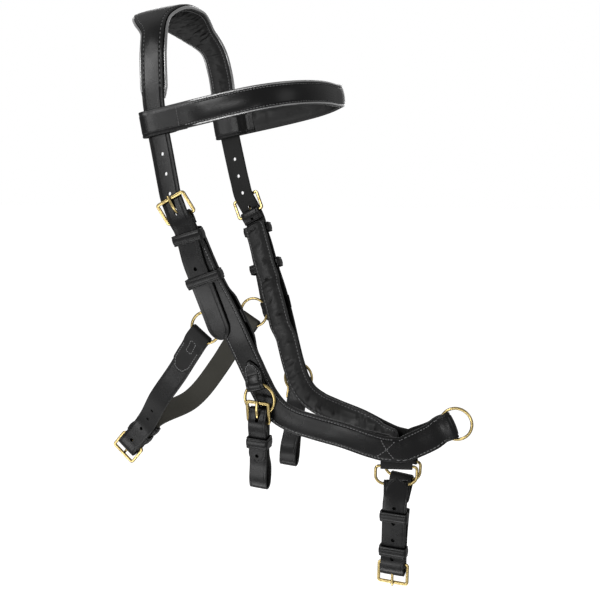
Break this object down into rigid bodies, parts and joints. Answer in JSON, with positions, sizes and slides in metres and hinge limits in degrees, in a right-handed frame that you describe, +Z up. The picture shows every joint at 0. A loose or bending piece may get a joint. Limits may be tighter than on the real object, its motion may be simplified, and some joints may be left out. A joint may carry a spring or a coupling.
{
  "type": "bridle",
  "caption": "Black leather anatomical bridle with padded crown, browband, shaped cheeks, drop noseband, jowl strap, chin strap, bit straps and brass buckles.",
  "frame": {"origin": "middle of the crown padding's underside, where it rests on the poll", "axes": "+X towards the horse's nose, +Y towards the horse's left, +Z up"},
  "size_m": [0.3949, 0.1846, 0.5734],
  "materials": {
    "black_leather": "semi-gloss finished black bridle leather",
    "padding_leather": "soft matt black lining leather over foam",
    "flesh_side_leather": "matt flesh side, slightly olive",
    "brass": "polished pale brass"
  },
  "bodies": {
    "headpiece": {"crown_strap": "black_leather", "crown_padding": "padding_leather", "nose_strap": "black_leather", "right_cheekpiece": "black_leather", "right_cheek_padding": "padding_leather", "right_cheek_buckle": "brass", "right_cheek_fixed_keeper": "black_leather", "right_jowl_tab": "black_leather", "right_bit_tab": "black_leather", "right_chin_tab": "black_leather", "right_chin_ring": "brass", "left_cheekpiece": "black_leather", "left_cheek_padding": "padding_leather", "left_cheek_buckle": "brass", "left_cheek_fixed_keeper": "black_leather", "left_jowl_tab": "black_leather", "left_bit_tab": "black_leather", "left_chin_tab": "black_leather", "left_chin_ring": "brass", "chin_buckle_strap": "black_leather", "chin_billet": "black_leather", "chin_buckle": "brass", "chin_fixed_keeper": "black_leather"},
    "browband_assembly": {"browband": "black_leather", "browband_padding": "padding_leather"},
    "right_cheek_tongue_part": {"right_cheek_tongue": "brass"},
    "right_cheek_keeper_part": {"right_cheek_running_keeper": "black_leather"},
    "left_cheek_tongue_part": {"left_cheek_tongue": "brass"},
    "left_cheek_keeper_part": {"left_cheek_running_keeper": "black_leather"},
    "right_jowl_ring_part": {"right_jowl_ring": "brass"},
    "left_jowl_ring_part": {"left_jowl_ring": "brass"},
    "jowl_strap": {"jowl_buckle_strap": "flesh_side_leather", "jowl_billet": "black_leather", "jowl_buckle": "brass", "jowl_fixed_keeper": "black_leather"},
    "jowl_tongue_part": {"jowl_tongue": "brass"},
    "jowl_keeper_part": {"jowl_running_keeper": "black_leather"},
    "nose_ring_part": {"nose_ring": "brass"},
    "right_bit_ring_part": {"right_bit_ring": "brass"},
    "right_bit_strap_part": {"right_bit_strap": "black_leather", "right_bit_buckle": "brass"},
    "right_bit_tongue_part": {"right_bit_tongue": "brass"},
    "right_bit_keeper_part": {"right_bit_keeper": "black_leather"},
    "left_bit_ring_part": {"left_bit_ring": "brass"},
    "left_bit_strap_part": {"left_bit_strap": "black_leather", "left_bit_buckle": "brass"},
    "left_bit_tongue_part": {"left_bit_tongue": "brass"},
    "left_bit_keeper_part": {"left_bit_keeper": "black_leather"},
    "chin_tongue_part": {"chin_tongue": "brass"},
    "chin_keeper_part": {"chin_running_keeper": "black_leather"}
  },
  "joints": [
    {"name": "browband_slide", "type": "slide", "parent": "headpiece", "child": "browband_assembly", "axis": [-0.1941, 0, 0.981], "range_m": [-0.01, 0.004]},
    {"name": "right_cheek_tongue_hinge", "type": "hinge", "parent": "headpiece", "child": "right_cheek_tongue_part", "pos_m": [0.0445, -0.0832, -0.198], "axis": [0.891, 0, 0.454], "range_deg": [0, 4]},
    {"name": "right_cheek_keeper_slide", "type": "slide", "parent": "headpiece", "child": "right_cheek_keeper_part", "axis": [-0.3252, -0.1878, 0.9268], "range_m": [-0.004, 0.004]},
    {"name": "left_cheek_tongue_hinge", "type": "hinge", "parent": "headpiece", "child": "left_cheek_tongue_part", "pos_m": [0.0445, 0.0832, -0.198], "axis": [-0.891, 0, -0.454], "range_deg": [0, 4]},
    {"name": "left_cheek_keeper_slide", "type": "slide", "parent": "headpiece", "child": "left_cheek_keeper_part", "axis": [-0.3252, 0.1878, 0.9268], "range_m": [-0.004, 0.004]},
    {"name": "right_jowl_ring_turn", "type": "hinge", "parent": "headpiece", "child": "right_jowl_ring_part", "pos_m": [0.0573, -0.0602, -0.305], "axis": [0, 1, 0], "continuous": true},
    {"name": "left_jowl_ring_turn", "type": "hinge", "parent": "headpiece", "child": "left_jowl_ring_part", "pos_m": [0.0573, 0.0602, -0.305], "axis": [0, 1, 0], "continuous": true},
    {"name": "jowl_strap_swing", "type": "hinge", "parent": "headpiece", "child": "jowl_strap", "pos_m": [0.0573, 0, -0.305], "axis": [0, 1, 0], "range_deg": [-12, 10]},
    {"name": "jowl_tongue_hinge", "type": "hinge", "parent": "jowl_strap", "child": "jowl_tongue_part", "pos_m": [-0.062, 0.001, -0.445], "axis": [0.7547, 0, -0.6561], "range_deg": [0, 4]},
    {"name": "jowl_keeper_slide", "type": "slide", "parent": "jowl_strap", "child": "jowl_keeper_part", "axis": [-0.6561, 0, -0.7547], "range_m": [-0.003, 0.001]},
    {"name": "nose_ring_turn", "type": "hinge", "parent": "headpiece", "child": "nose_ring_part", "pos_m": [0.29196, 0, -0.39485], "axis": [0, 1, 0], "continuous": true},
    {"name": "right_bit_ring_turn", "type": "hinge", "parent": "headpiece", "child": "right_bit_ring_part", "pos_m": [0.111, -0.0546, -0.373], "axis": [0, -0.9945, -0.1045], "continuous": true},
    {"name": "right_bit_strap_swing", "type": "hinge", "parent": "headpiece", "child": "right_bit_strap_part", "pos_m": [0.111, -0.0546, -0.373], "axis": [0, -0.9945, -0.1045], "range_deg": [-12, 12]},
    {"name": "right_bit_tongue_hinge", "type": "hinge", "parent": "right_bit_strap_part", "child": "right_bit_tongue_part", "pos_m": [0.10956, -0.05319, -0.39593], "axis": [0.998, 0.0066, -0.0623], "range_deg": [0, 4]},
    {"name": "right_bit_keeper_slide", "type": "slide", "parent": "right_bit_strap_part", "child": "right_bit_keeper_part", "axis": [0.0627, -0.1043, 0.9926], "range_m": [-0.006, 0.001]},
    {"name": "left_bit_ring_turn", "type": "hinge", "parent": "headpiece", "child": "left_bit_ring_part", "pos_m": [0.111, 0.0546, -0.373], "axis": [0, 0.9945, -0.1045], "continuous": true},
    {"name": "left_bit_strap_swing", "type": "hinge", "parent": "headpiece", "child": "left_bit_strap_part", "pos_m": [0.111, 0.0546, -0.373], "axis": [0, 0.9945, -0.1045], "range_deg": [-12, 12]},
    {"name": "left_bit_tongue_hinge", "type": "hinge", "parent": "left_bit_strap_part", "child": "left_bit_tongue_part", "pos_m": [0.10956, 0.05319, -0.39593], "axis": [-0.998, 0.0066, 0.0623], "range_deg": [0, 4]},
    {"name": "left_bit_keeper_slide", "type": "slide", "parent": "left_bit_strap_part", "child": "left_bit_keeper_part", "axis": [0.0627, 0.1043, 0.9926], "range_m": [-0.006, 0.001]},
    {"name": "chin_tongue_hinge", "type": "hinge", "parent": "headpiece", "child": "chin_tongue_part", "pos_m": [0.234, -0.008, -0.539], "axis": [-0.9995, 0, 0.0321], "range_deg": [0, 4]},
    {"name": "chin_keeper_slide", "type": "slide", "parent": "headpiece", "child": "chin_keeper_part", "axis": [-0.032, 0.054, -0.998], "range_m": [-0.0025, 0.005]}
  ]
}
